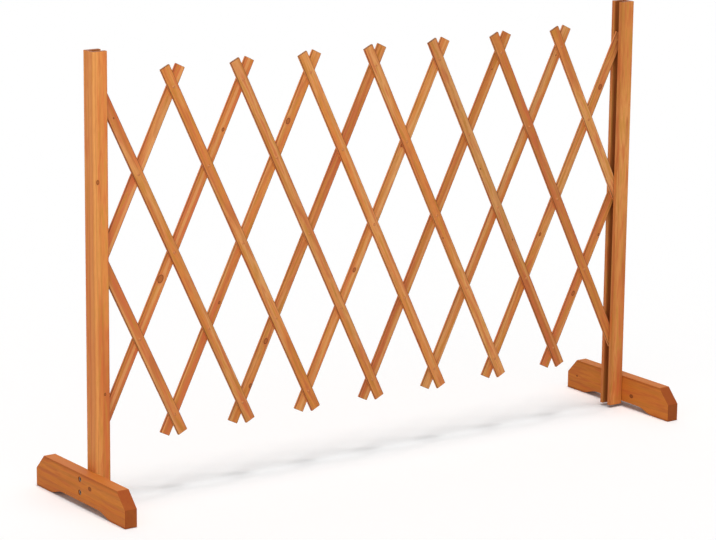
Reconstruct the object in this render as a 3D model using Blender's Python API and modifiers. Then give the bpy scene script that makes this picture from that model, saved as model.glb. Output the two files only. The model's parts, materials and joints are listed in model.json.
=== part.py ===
"""An expandable trellis: a riveted lattice of softwood slats between two channel posts that stand on feet.

The slats lie in two layers, the front one leaning left and the back one leaning right, and each turns on
its pivots as the trellis opens and folds. The middle slat ends turn on a pin in each post, and the top and
bottom ends run up and down inside the post's channel.

+X runs along the trellis, +Y from its front to its back, and +Z up. The origin is on the ground under the
middle of the trellis as it stands open. Sizes are in metres and angles in radians.
"""

import math

import bmesh
import bpy
from mathutils import Matrix

# Lattice
OPEN_SPAN = 1.529  # from post pivot to post pivot as the trellis stands open
BAYS = 8  # diamonds side by side between the posts
PITCHES_PER_HALF = 2  # pivot pitches from the middle row to the top row
PIVOT_PITCH = 0.218  # between two pivots along a slat
LEAN_WIDEST = math.radians(30.0)  # of a slat from the vertical
LEAN_FOLDED = math.radians(4.0)
SLAT_WIDTH = 0.027
SLAT_THICKNESS = 0.0065
SLAT_END = 0.053  # from the last pivot to the square end of a slat
SLAT_END_PLAY = 0.0015  # between a slat's end and the web of a post's channel

# Rivets and pins
RIVET_RADIUS = 0.0022
RIVET_HEAD_RADIUS = 0.0043
RIVET_HEAD_RISE = 0.0013
POST_PIN_RADIUS = 0.0030
POST_PIN_HEAD_RADIUS = 0.0050
POST_PIN_HEAD_DEPTH = 0.0020
POST_PIN_SINK = 0.0005  # of the head under the back flange's face
POST_PIN_BLIND = 0.0080  # how far the post pin goes into the front flange

# Posts
POST_LENGTH = 1.063
POST_GROUND_GAP = 0.007
POST_WIDTH = 0.040
FLANGE_THICKNESS = 0.012
WEB_THICKNESS = 0.010
PIVOT_FROM_EDGE = 0.0070  # from a post's open edge to its column of pivots
HEAD_PLAY = 0.00075  # between a rivet's head and a flange of the channel
POST_ABOVE_LATTICE = 0.0035  # over the slat tips of the folded lattice

# Feet
FOOT_LENGTH = 0.410
FOOT_HEIGHT = 0.082
FOOT_THICKNESS = 0.032
FOOT_CHAMFER_LENGTH = 0.036
FOOT_CHAMFER_DROP = 0.038
FOOT_PAD = 0.062  # flat under each end
FOOT_ARCH_RUN = 0.060  # over which a pad rises to the arch
FOOT_ARCH_RISE = 0.013
FOOT_SCREW_BELOW_TOP = 0.015  # the upper screw under the foot's top edge
FOOT_SCREW_SPACING = 0.032
FOOT_SCREW_RADIUS = 0.0021
FOOT_SCREW_HEAD_RADIUS = 0.0045
FOOT_SCREW_HEAD_DEPTH = 0.0026
FOOT_SCREW_SINK = 0.0005  # of the head under the wood's face
FOOT_SCREW_IN_WEB = 0.0070

GAP = 0.0003  # between neighbouring pieces
SIDES = 12  # of every round piece and hole
DOME_STEPS = 3
ARCH_STEPS = 8

# Finishes, as linear red, green and blue
POST_STAIN = (0.70, 0.25, 0.075)
FOOT_STAIN = (0.52, 0.15, 0.035)
FRONT_SLAT_STAIN = (0.68, 0.23, 0.065)
BACK_SLAT_STAIN = (0.62, 0.20, 0.055)
STAINED_STEEL = (0.45, 0.25, 0.13)
ZINC_PLATE = (0.52, 0.51, 0.49)
STAIN_ROUGHNESS = 0.55
STEEL_ROUGHNESS = 0.40

# What follows from the sizes above
ROWS = 2 * PITCHES_PER_HALF
MIDDLE_ROW = PITCHES_PER_HALF
SLATS_PER_LAYER = BAYS + PITCHES_PER_HALF - 1
HALF_COLUMN = OPEN_SPAN / 2 / BAYS  # between two columns of pivots
LEAN = math.asin(HALF_COLUMN / PIVOT_PITCH)
ROW_STEP = PIVOT_PITCH * math.cos(LEAN)
LAYER_Y = (SLAT_THICKNESS + GAP) / 2
STACK = 2 * SLAT_THICKNESS + GAP
CHANNEL = STACK + 2 * (GAP + RIVET_HEAD_RISE + HEAD_PLAY)
CHANNEL_DEPTH = POST_WIDTH - WEB_THICKNESS
POST_DEPTH = CHANNEL + 2 * FLANGE_THICKNESS
FOLDED_REACH = (
    (PITCHES_PER_HALF * PIVOT_PITCH + SLAT_END) * math.cos(LEAN_FOLDED)
    + SLAT_WIDTH / 2 * math.sin(LEAN_FOLDED)
)
POST_TOP = POST_GROUND_GAP + POST_LENGTH
MIDDLE_HEIGHT = POST_TOP - POST_ABOVE_LATTICE - FOLDED_REACH
SLAT_END_IN_POST = (
    CHANNEL_DEPTH - PIVOT_FROM_EDGE - SLAT_END_PLAY - SLAT_WIDTH / 2 * math.cos(LEAN_WIDEST)
) / math.sin(LEAN_WIDEST)
QUARTER = math.pi / 2


def clear_scene():
    for obj in list(bpy.data.objects):
        bpy.data.objects.remove(obj)


def new_collection(name, hidden=False):
    collection = bpy.data.collections.new(name)
    collection.hide_render = hidden
    bpy.context.scene.collection.children.link(collection)
    return collection


def new_material(name, color, roughness, metallic):
    material = bpy.data.materials.new(name)
    material.use_nodes = True
    shader = material.node_tree.nodes["Principled BSDF"]
    shader.inputs["Base Color"].default_value = (*color, 1.0)
    shader.inputs["Roughness"].default_value = roughness
    shader.inputs["Metallic"].default_value = metallic
    return material


def stained_wood(name, color):
    return new_material(name, color, STAIN_ROUGHNESS, metallic=0.0)


def steel(name, color):
    return new_material(name, color, STEEL_ROUGHNESS, metallic=1.0)


def new_object(name, data, collection, parent=None, location=(0, 0, 0), rotation=(0, 0, 0)):
    obj = bpy.data.objects.new(name, data)
    collection.objects.link(obj)
    obj.parent = parent
    obj.location = location
    obj.rotation_euler = rotation
    return obj


def new_part(name, data, material, **placing):
    part = new_object(name, data, parts, **placing)
    if not part.data.materials:
        part.data.materials.append(material)
    return part


def new_cutter(name, data, **placing):
    cutter = new_object(name, data, cutters, **placing)
    cutter.hide_render = True
    cutter.display_type = "WIRE"
    return cutter


def cut(part, cutter):
    modifier = part.modifiers.new(cutter.name, "BOOLEAN")
    modifier.operation = "DIFFERENCE"
    modifier.solver = "EXACT"
    modifier.object = cutter


def hole_radius(pin_radius):
    """The radius of a faceted hole whose flats clear a pin at every turn."""
    return (pin_radius + GAP) / math.cos(math.pi / SIDES)


def turned_mesh(name, profile):
    """A profile of (radius, height) points, top to bottom, for a Screw about Z."""
    mesh = bpy.data.meshes.new(name)
    edges = [(i, i + 1) for i in range(len(profile) - 1)]
    mesh.from_pydata([(radius, 0, height) for radius, height in profile], edges, [])
    return mesh


def turn(obj):
    screw = obj.modifiers.new("turning", "SCREW")
    screw.axis = "Z"
    screw.steps = SIDES
    screw.render_steps = SIDES
    screw.use_merge_vertices = True
    screw.merge_threshold = 0.00001
    screw.use_smooth_shade = False
    return obj


def extruded_board(name, outline, thickness, material, **placing):
    """A flat outline extruded evenly to both sides of its plane and made a mesh."""
    curve = bpy.data.curves.new(name, "CURVE")
    curve.dimensions = "2D"
    curve.fill_mode = "BOTH"
    curve.extrude = thickness / 2
    spline = curve.splines.new("POLY")
    spline.points.add(len(outline) - 1)
    for point, (x, y) in zip(spline.points, outline):
        point.co = (x, y, 0, 1)
    spline.use_cyclic_u = True
    drawn = new_object(f"{name}_outline", curve, parts, **placing)
    bpy.context.view_layer.update()
    graph = bpy.context.evaluated_depsgraph_get()
    mesh = bpy.data.meshes.new_from_object(drawn.evaluated_get(graph))
    mesh.name = name
    weld(mesh)
    board = new_part(name, mesh, material)
    board.matrix_world = drawn.matrix_world
    bpy.data.objects.remove(drawn)
    board.parent = placing["parent"]
    board.location = placing["location"]
    board.rotation_euler = placing.get("rotation", (0, 0, 0))
    return board


def weld(mesh):
    shape = bmesh.new()
    shape.from_mesh(mesh)
    bmesh.ops.remove_doubles(shape, verts=shape.verts, dist=0.00001)
    bmesh.ops.recalc_face_normals(shape, faces=shape.faces)
    shape.to_mesh(mesh)
    shape.free()


def column_of(layer, number, row):
    """The half column that a slat passes at a row, counted from the middle of the trellis."""
    start = 2 * number - BAYS - ROWS
    return start + row if layer == "front" else start + ROWS - row


def rows_of(layer, number):
    """The rows at which a slat has a pivot, from the top: all of them unless a post stops it."""
    return [row for row in range(ROWS + 1) if abs(column_of(layer, number, row)) <= BAYS]


def joint_row(layer, number):
    """The row of the pivot that carries a slat, which is its origin.

    A zigzag of slats runs from post to post by way of the bottom and top rows: the first front slat, the
    back slat that it meets at the bottom, the front slat that this one meets at the top, and so on. A slat
    of the same number in the other layer turns on it in the middle row, and each slat between them turns
    on its neighbour in the row under the middle one.
    """
    step, between = divmod(number - 1, PITCHES_PER_HALF)
    if between:
        return MIDDLE_ROW + 1
    in_zigzag = (layer == "front") == (step % 2 == 0)
    if not in_zigzag or number == 1:
        return MIDDLE_ROW
    return 0 if layer == "front" else ROWS


def pivot_place(column, row):
    """A pivot's x and z."""
    return column * HALF_COLUMN, MIDDLE_HEIGHT + (MIDDLE_ROW - row) * ROW_STEP


def up_the_slat(layer, number, row):
    """How far a pivot is above a slat's own origin, along the slat."""
    return (joint_row(layer, number) - row) * PIVOT_PITCH


def pin_radius_at(column, row):
    return POST_PIN_RADIUS if row == MIDDLE_ROW and abs(column) == BAYS else RIVET_RADIUS


def slat_end(layer, number, row):
    """How far a slat runs past its end pivot."""
    in_post = abs(column_of(layer, number, row)) == BAYS
    return SLAT_END_IN_POST if in_post else SLAT_END


def slat_mesh(name, low, high):
    shape = bmesh.new()
    stretch = Matrix.Diagonal((SLAT_WIDTH, SLAT_THICKNESS, high - low, 1))
    middle = Matrix.Translation((0, 0, (high + low) / 2))
    bmesh.ops.create_cube(shape, size=1, matrix=middle @ stretch)
    mesh = bpy.data.meshes.new(name)
    shape.to_mesh(mesh)
    shape.free()
    return mesh


def slat_drill_mesh(name, layer, number):
    """One cylinder across a slat for each of its pivots."""
    shape = bmesh.new()
    for row in rows_of(layer, number):
        radius = hole_radius(pin_radius_at(column_of(layer, number, row), row))
        place = Matrix.Translation((0, 0, up_the_slat(layer, number, row)))
        bmesh.ops.create_cone(
            shape,
            cap_ends=True,
            segments=SIDES,
            radius1=radius,
            radius2=radius,
            depth=3 * SLAT_THICKNESS,
            matrix=place @ Matrix.Rotation(QUARTER, 4, "X"),
        )
    mesh = bpy.data.meshes.new(name)
    shape.to_mesh(mesh)
    shape.free()
    return mesh


def add_slat(layer, number, material):
    name = f"{layer}_slat_{number}"
    rows = rows_of(layer, number)
    top, bottom = rows[0], rows[-1]
    high = up_the_slat(layer, number, top) + slat_end(layer, number, top)
    low = up_the_slat(layer, number, bottom) - slat_end(layer, number, bottom)
    row = joint_row(layer, number)
    x, z = pivot_place(column_of(layer, number, row), row)
    side = -1 if layer == "front" else 1
    placing = {"location": (x, side * LAYER_Y, z), "rotation": (0, side * LEAN, 0)}
    slat = new_part(name, slat_mesh(name, low, high), material, **placing)
    drill_mesh = slat_drill_mesh(f"{name}_drill", layer, number)
    cut(slat, new_cutter(f"{name}_drill", drill_mesh, **placing))
    return slat


def dome(radius, rise, base):
    """Profile points of a shallow dome, from its top down to its rim."""
    angles = [QUARTER * step / DOME_STEPS for step in range(DOME_STEPS + 1)]
    return [(radius * math.sin(angle), base + rise * math.cos(angle)) for angle in angles]


def rivet_profile():
    """A domed head in front, the shank through both layers, and a flat burr behind."""
    face = STACK / 2 + GAP
    return [
        *dome(RIVET_HEAD_RADIUS, RIVET_HEAD_RISE, face),
        (RIVET_RADIUS, face),
        (RIVET_RADIUS, -face),
        (RIVET_HEAD_RADIUS, -face),
        (RIVET_HEAD_RADIUS, -face - RIVET_HEAD_RISE),
        (0, -face - RIVET_HEAD_RISE),
    ]


def add_rivets(slats, material):
    """A rivet in each crossing, from left to right, in every row but the one over the middle."""
    mesh = turned_mesh("rivet", rivet_profile())
    for row in range(ROWS + 1):
        if row == MIDDLE_ROW - 1:
            continue
        crossings = [
            number
            for number in range(1, SLATS_PER_LAYER + 1)
            if 1 <= number + row - MIDDLE_ROW <= SLATS_PER_LAYER
            and pin_radius_at(column_of("front", number, row), row) == RIVET_RADIUS
        ]
        for count, number in enumerate(crossings, start=1):
            rivet = new_part(
                f"rivet_row{row + 1}_{count}",
                mesh,
                material,
                parent=slats["front", number],
                location=(0, LAYER_Y, up_the_slat("front", number, row)),
                rotation=(QUARTER, 0, 0),
            )
            turn(rivet)


def post_outline(side):
    """The channel's section about its column of pivots. side is -1 for the left post and 1 for the right."""
    edge = -PIVOT_FROM_EDGE
    bottom = edge + CHANNEL_DEPTH
    back = edge + POST_WIDTH
    corners = [
        (edge, -POST_DEPTH / 2),
        (back, -POST_DEPTH / 2),
        (back, POST_DEPTH / 2),
        (edge, POST_DEPTH / 2),
        (edge, CHANNEL / 2),
        (bottom, CHANNEL / 2),
        (bottom, -CHANNEL / 2),
        (edge, -CHANNEL / 2),
    ]
    return [(side * x, y) for x, y in corners]


def add_post(name, side, pivot, material):
    middle = POST_TOP - POST_LENGTH / 2 - MIDDLE_HEIGHT
    post = extruded_board(
        name, post_outline(side), POST_LENGTH, material, parent=pivot, location=(0, 0, middle)
    )
    shank = hole_radius(POST_PIN_RADIUS)
    head = hole_radius(POST_PIN_HEAD_RADIUS)
    ledge = POST_DEPTH / 2 - POST_PIN_SINK - POST_PIN_HEAD_DEPTH - GAP
    blind_end = -CHANNEL / 2 - POST_PIN_BLIND - GAP
    drill = [
        (0, POST_DEPTH),
        (head, POST_DEPTH),
        (head, ledge),
        (shank, ledge),
        (shank, blind_end),
        (0, blind_end),
    ]
    mesh = turned_mesh(f"{name}_drill", drill)
    cut(post, turn(new_cutter(f"{name}_drill", mesh, parent=pivot, rotation=(-QUARTER, 0, 0))))
    return post


def add_post_pin(name, pivot, material):
    """A pin driven in from the back flange until its flat head is sunk in the wood."""
    top = POST_DEPTH / 2 - POST_PIN_SINK
    tip = -CHANNEL / 2 - POST_PIN_BLIND
    profile = [
        (0, top),
        (POST_PIN_HEAD_RADIUS, top),
        (POST_PIN_HEAD_RADIUS, top - POST_PIN_HEAD_DEPTH),
        (POST_PIN_RADIUS, top - POST_PIN_HEAD_DEPTH),
        (POST_PIN_RADIUS, tip),
        (0, tip),
    ]
    turn(new_part(name, turned_mesh(name, profile), material, parent=pivot, rotation=(-QUARTER, 0, 0)))


def ease(share):
    """A smooth rise from 0 to 1."""
    return (1 - math.cos(math.pi * share)) / 2


def foot_outline():
    """A foot's side view, y along its length and z from the ground, from the front pad round to the back."""
    end = FOOT_LENGTH / 2
    steps = [step / ARCH_STEPS for step in range(ARCH_STEPS + 1)]
    rise = [(-end + FOOT_PAD + FOOT_ARCH_RUN * t, FOOT_ARCH_RISE * ease(t)) for t in steps]
    half = [(-end, 0)] + rise
    bottom = half + [(-y, z) for y, z in reversed(half)]
    top = [
        (end, FOOT_HEIGHT - FOOT_CHAMFER_DROP),
        (end - FOOT_CHAMFER_LENGTH, FOOT_HEIGHT),
        (FOOT_CHAMFER_LENGTH - end, FOOT_HEIGHT),
        (-end, FOOT_HEIGHT - FOOT_CHAMFER_DROP),
    ]
    return bottom + top


def add_foot(name, side, pivot, post, materials):
    """A foot on the post's outer face, and its two countersunk screws."""
    post_face = POST_WIDTH - PIVOT_FROM_EDGE
    inner_face = post_face + GAP
    outer_face = inner_face + FOOT_THICKNESS
    ground = -MIDDLE_HEIGHT
    foot = extruded_board(
        name,
        foot_outline(),
        FOOT_THICKNESS,
        materials["foot"],
        parent=pivot,
        location=(side * (inner_face + outer_face) / 2, 0, ground),
        rotation=(QUARTER, 0, QUARTER),
    )
    tip = -FOOT_THICKNESS - GAP - FOOT_SCREW_IN_WEB
    neck = -FOOT_SCREW_SINK - FOOT_SCREW_HEAD_DEPTH
    screw = [
        (0, -FOOT_SCREW_SINK),
        (FOOT_SCREW_HEAD_RADIUS, -FOOT_SCREW_SINK),
        (FOOT_SCREW_RADIUS, neck),
        (FOOT_SCREW_RADIUS, tip),
        (0, tip),
    ]
    wide = hole_radius(FOOT_SCREW_HEAD_RADIUS)
    narrow = hole_radius(FOOT_SCREW_RADIUS)
    drill = [
        (0, FOOT_THICKNESS),
        (wide, FOOT_THICKNESS),
        (wide, -FOOT_SCREW_SINK),
        (narrow, neck),
        (narrow, tip - GAP),
        (0, tip - GAP),
    ]
    upper = FOOT_HEIGHT - FOOT_SCREW_BELOW_TOP
    for place, height in (("upper", upper), ("lower", upper - FOOT_SCREW_SPACING)):
        placing = {
            "parent": pivot,
            "location": (side * outer_face, 0, ground + height),
            "rotation": (0, side * QUARTER, 0),
        }
        screw_name = f"{name}_screw_{place}"
        turn(new_part(screw_name, turned_mesh(screw_name, screw), materials["screw"], **placing))
        cutter = turn(new_cutter(f"{screw_name}_drill", turned_mesh(f"{screw_name}_drill", drill), **placing))
        cut(foot, cutter)
        cut(post, cutter)


def add_upright(word, side, materials):
    """A post with its pin, foot and screws, all carried by an empty on its pivot."""
    place = (side * OPEN_SPAN / 2, 0, MIDDLE_HEIGHT)
    pivot = new_object(f"{word}_post_pivot", None, parts, location=place)
    post = add_post(f"{word}_post", side, pivot, materials["post"])
    add_post_pin(f"{word}_post_pin", pivot, materials["pin"])
    add_foot(f"{word}_foot", side, pivot, post, materials)


def build():
    materials = {
        "post": stained_wood("post_wood", POST_STAIN),
        "foot": stained_wood("foot_wood", FOOT_STAIN),
        "front": stained_wood("front_slat_wood", FRONT_SLAT_STAIN),
        "back": stained_wood("back_slat_wood", BACK_SLAT_STAIN),
        "rivet": steel("rivet_steel", STAINED_STEEL),
        "pin": steel("post_pin_steel", ZINC_PLATE),
        "screw": steel("foot_screw_steel", ZINC_PLATE),
    }
    add_upright("left", -1, materials)
    add_upright("right", 1, materials)
    slats = {
        (layer, number): add_slat(layer, number, materials[layer])
        for layer in ("front", "back")
        for number in range(1, SLATS_PER_LAYER + 1)
    }
    add_rivets(slats, materials["rivet"])


clear_scene()
parts = new_collection("expandable_trellis")
cutters = new_collection("cutters", hidden=True)
build()
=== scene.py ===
"""The looks of an expandable trellis: stained softwood boards with eased edges, rivets, pins and screws.

Each board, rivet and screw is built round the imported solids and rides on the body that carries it. +X runs
along the trellis, +Y from its front to its back, and +Z up. Sizes are in metres and angles in radians.
"""

import json
import math
import random

import bmesh
import bpy
from mathutils import Matrix, Vector


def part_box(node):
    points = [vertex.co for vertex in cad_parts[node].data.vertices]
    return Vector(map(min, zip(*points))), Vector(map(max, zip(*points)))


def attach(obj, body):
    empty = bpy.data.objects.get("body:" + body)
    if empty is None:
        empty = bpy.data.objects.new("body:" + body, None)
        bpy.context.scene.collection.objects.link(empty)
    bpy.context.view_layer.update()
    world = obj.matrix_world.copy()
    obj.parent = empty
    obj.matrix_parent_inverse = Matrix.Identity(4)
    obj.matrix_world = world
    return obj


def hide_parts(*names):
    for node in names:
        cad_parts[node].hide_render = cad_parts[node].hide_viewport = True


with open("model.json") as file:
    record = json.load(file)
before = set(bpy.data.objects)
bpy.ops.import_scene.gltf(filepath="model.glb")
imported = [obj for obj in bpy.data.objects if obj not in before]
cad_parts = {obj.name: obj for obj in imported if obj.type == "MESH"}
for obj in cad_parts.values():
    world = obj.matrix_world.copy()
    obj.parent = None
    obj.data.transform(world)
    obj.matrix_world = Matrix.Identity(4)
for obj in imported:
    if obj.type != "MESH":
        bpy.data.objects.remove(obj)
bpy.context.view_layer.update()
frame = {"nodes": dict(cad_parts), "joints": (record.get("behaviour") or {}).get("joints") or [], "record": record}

# Wood
POST_FLANGE = 0.012
POST_WEB = 0.010
POST_CORNER = 0.0035  # planed round, on the corners that a hand meets
CHANNEL_CORNER = 0.0008
EDGE_SHARE = 0.35  # of the channel's darkness, from stain and painted shade, that the flanges' edges show
MILLED_FADE = 0.0075  # how far into the channel it takes the darker stain and painted shade to grow fully dark
CUT_EDGE = 0.0006  # where a saw cut was sanded
EASE_STEPS = 4  # round an eased edge
FOOT_PAD = 0.062
FOOT_ARCH_RUN = 0.060
FOOT_ARCH_RISE = 0.013
FOOT_CHAMFER_LENGTH = 0.036
FOOT_CHAMFER_DROP = 0.038
FOOT_CORNER = 0.0016
FOOT_TOE_CORNER = 0.0020
FOOT_CHAMFER_CORNER = 0.0024
ARCH_STEPS = 24
SLAT_WIDTH = 0.027
SLAT_EDGE = 0.0014
SLAT_TRIM = 0.0006  # the most by which two slats of a length differ at an end
SLAT_HOLE = 0.0025
PIN_HOLE = 0.0033
PIN_HEAD_HOLE = 0.0053
SEAT_RADIUS = 0.0037  # wood crushed in under a rivet's head
SEAT_DEPTH = 0.00035
CUT_PAST = 0.01  # how far a cutter stands out of a post or foot
SLAT_CUT_REACH = 0.02  # of a slat's cutters, to each side of the lattice's middle
SMOOTH_WOOD = math.radians(30)  # the steepest step between faces that are shaded as one

# Rivets, pins and screws
RIVET_RADIUS = 0.0022
RIVET_HEAD_RADIUS = 0.0035
RIVET_HEAD_RISE = 0.0014
RIVET_SINK = 0.0003  # of a head into its seat
RIVET_TILT = 0.02
END_RIVET_PLAY = 0.0001  # between an end rivet's rolled end and its slat
BURR_RADIUS = 0.0034  # of the rolled end at the back
BURR_RISE = 0.00104
BURR_MOUTH = 0.00132
HOLLOW_RADIUS = 0.0011
HOLLOW_FLOOR = 0.0001  # over the slat's face
PIN_RADIUS = 0.0030
PIN_HEAD_RADIUS = 0.0050
PIN_HEAD_DEPTH = 0.0020
PIN_EASE = 0.0004
SCREW_RADIUS = 0.0021
SCREW_HEAD_RADIUS = 0.0054
SCREW_HEAD_DEPTH = 0.0026
SCREW_SINK = 0.0020  # of the head under the foot's face
SCREW_RIM = 0.0003
SCREW_POINT = 0.0040
SCREW_PLAY = 0.0003
SCREW_BORE = 0.045
SCREW_PLACES = ("lower", "upper")
COUNTERSINK_LIP = 0.0014  # past the head's rim, at the wood's face
DISH_RADIUS = 0.0041
DISH_FLOOR = 0.8  # of the dish's radius
DISH_DEPTH = 0.0014
CROSS_LENGTH = 0.0086  # of the driver's recess, from tip to tip
CROSS_WIDTH = 0.0027
CROSS_DEPTH = 0.0026
CROSS_TAPER = 0.45
CROSS_TURN = 0.05  # keeps the recess's corners off the dish's facets
RECESS_SHADE_DEPTHS = (0.0028, 0.0022)  # of the screw heads' painted shade, under the foot's face: where it is thick and where it ends
ROUND_STEPS = 32
DOME_STEPS = 6
SMOOTH_METAL = math.radians(38)  # the same for metal
QUARTER = math.pi / 2

# Knots that show, by board: how far along and across it from its pivot or middle, and the radius
NO_KNOT = (9.0, 0.0, 0.0016)  # beyond every board's end
SHOWN_KNOTS = {
    "left_post": ((0.192, -0.0085, 0.0034), (-0.310, 0.0060, 0.0022)),
    "left_foot": ((-0.046, 0.014, 0.0044), NO_KNOT),
    "right_foot": ((-0.058, -0.0065, 0.0043), (0.166, -0.002, 0.0016)),
    "back_slat_2": ((-0.069, -0.0040, 0.0072), (0.310, 0.0040, 0.0030)),
    "back_slat_3": ((-0.152, 0.0050, 0.0024), (0.309, -0.0042, 0.0052)),
    "back_slat_4": ((-0.279, 0.0018, 0.0050), (-0.392, 0.0085, 0.0036)),
    "back_slat_5": ((-0.1205, -0.0005, 0.0040), (0.205, -0.0060, 0.0026)),
    "back_slat_8": ((0.308, 0.0020, 0.0048), (-0.100, -0.0050, 0.0030)),
    "back_slat_9": ((-0.286, 0.0004, 0.0044), (-0.120, 0.0080, 0.0024)),
}
KNOT_NAMES = ("knot_1", "knot_2")
BOARD_VALUES = ("heart", "sapwood", "board")  # what else a board tells the wood's pattern
KNOT_SLANT = 0.72  # a branch leaves the trunk at a slant, so its knot is longer than it is wide
BARK_SHARE = 0.97  # of a knot's radius, where the line of its bark lies
# Where chance puts a small knot, the heart of the tree and the sapwood
SMALL_KNOT = 0.0011
KNOT_ALONG = 0.42
KNOT_ACROSS = 0.009
KNOT_CHANCES = (False, False, False, False, True)
HEART_ACROSS = 0.030
HEART_INTO = (0.020, 0.060)
HEART_WANDER = 0.013
SAP_ACROSS = 0.014
SAP_INTO = 0.004
SAP_RADII = (0.0001, 0.004, 0.006)
# How pale a board is, from 0 to 1, where the photo settles it
TONES = {"left_post": 0.75, "right_post": 0.60, "left_foot": 0.95, "right_foot": 0.55}
# Paler sapwood, by board: how far across and towards the back its middle lies, and its radius
SAPWOOD = {"left_post": (-0.018, -0.0145, 0.0118)}

# Camera and light
PICTURE_WIDTH = 716  # in pixels
CAMERA_PLACE = (-4.1946, -5.8508, 2.1379)
CAMERA_YAW = 0.6172
CAMERA_PITCH = 0.2287
CAMERA_ROLL = 0.0109
CAMERA_FOCAL_PIXELS = 3015.38
SENSOR_WIDTH = 36.0  # in millimetres
FAR_CLIP = 200.0
ROOM_LIGHT = 0.17
KEY_LIGHT = 0.50
FILL_LIGHT = 0.50
TOP_LIGHT = 2.1
NEAR_LIGHT = 39.0
NEAR_LAMP_SIZE = 1.6
NEAR_LAMP_PLACE = (-2.1, -2.2, 2.5)
NEAR_LAMP_AIM = (-0.5, 0, 0.95)
FLOOR_GLOW = 0.02
FLOOR_REACH = 60

# The lattice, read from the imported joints
JOINTS = {joint["name"]: Vector(joint["pos_m"]) for joint in frame["joints"]}
MIDDLE = JOINTS["fold"].z
COLUMNS = 8  # of pivots, from the trellis's middle to either post
ROWS = 2  # of pivots, over the middle row and under it
HALF_COLUMN = JOINTS["right_post_pivot"].x / COLUMNS
ROW_STEP = (JOINTS["front_slat_5_pivot"].z - MIDDLE) / ROWS
PITCH = math.hypot(HALF_COLUMN, ROW_STEP)
LEAN = math.atan2(HALF_COLUMN, ROW_STEP)
SLATS = 9  # in each layer

MATH, VECTOR_MATH = "ShaderNodeMath", "ShaderNodeVectorMath"


def linear(colour):
    """An sRGB hex colour as linear red, green, blue and alpha."""
    shares = [int(colour[i:i + 2], 16) / 255 for i in (0, 2, 4)]
    return tuple(s / 12.92 if s <= 0.04045 else ((s + 0.055) / 1.055) ** 2.4 for s in shares) + (1.0,)


def add(tree, kind, inputs=(), **settings):
    """Adds a node with its settings, sets or links its inputs, and returns its outputs.

    The inputs are a dictionary by name or number, or plain values in the sockets' own order.
    """
    node = tree.nodes.new(kind)
    for name, value in settings.items():
        setattr(node, name, value)
    for name, value in (inputs if isinstance(inputs, dict) else dict(enumerate(inputs))).items():
        if isinstance(value, bpy.types.NodeSocket):
            tree.links.new(value, node.inputs[name])
        else:
            node.inputs[name].default_value = value
    return node.outputs


def new_material(name):
    """An empty node material and its tree."""
    material = bpy.data.materials.new(name)
    material.use_nodes = True
    material.node_tree.nodes.clear()
    return material, material.node_tree


def knotted(tree, across, along, name):
    """What a knot does at a point of its board.

    It gives how far the grain steps aside, how many knot radii away the point lies, and how far from bark.
    """
    knot = add(tree, "ShaderNodeAttribute", attribute_name=name)["Vector"]
    knot = add(tree, "ShaderNodeSeparateXYZ", (knot,))
    aside = add(tree, MATH, (across, knot["X"]), operation="SUBTRACT")[0]
    ahead = add(tree, MATH, (along, knot["Y"]), operation="SUBTRACT")[0]
    ahead = add(tree, MATH, (ahead, KNOT_SLANT), operation="MULTIPLY")[0]
    offset = add(tree, "ShaderNodeCombineXYZ", (aside, ahead))[0]
    apart = add(tree, VECTOR_MATH, (offset,), operation="LENGTH")["Value"]
    near = add(tree, MATH, (apart, knot["Z"]), operation="DIVIDE")[0]
    bark = add(tree, MATH, (knot["Z"], -BARK_SHARE, apart), operation="MULTIPLY_ADD")[0]
    bark = add(tree, MATH, (bark,), operation="ABSOLUTE")[0]
    clear = add(tree, MATH, (near, 1.0), operation="MAXIMUM")[0]
    share = add(tree, MATH, (clear, -2.0), operation="POWER")[0]
    step = add(tree, MATH, (aside, share), operation="MULTIPLY")[0]
    return step, near, bark


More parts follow.
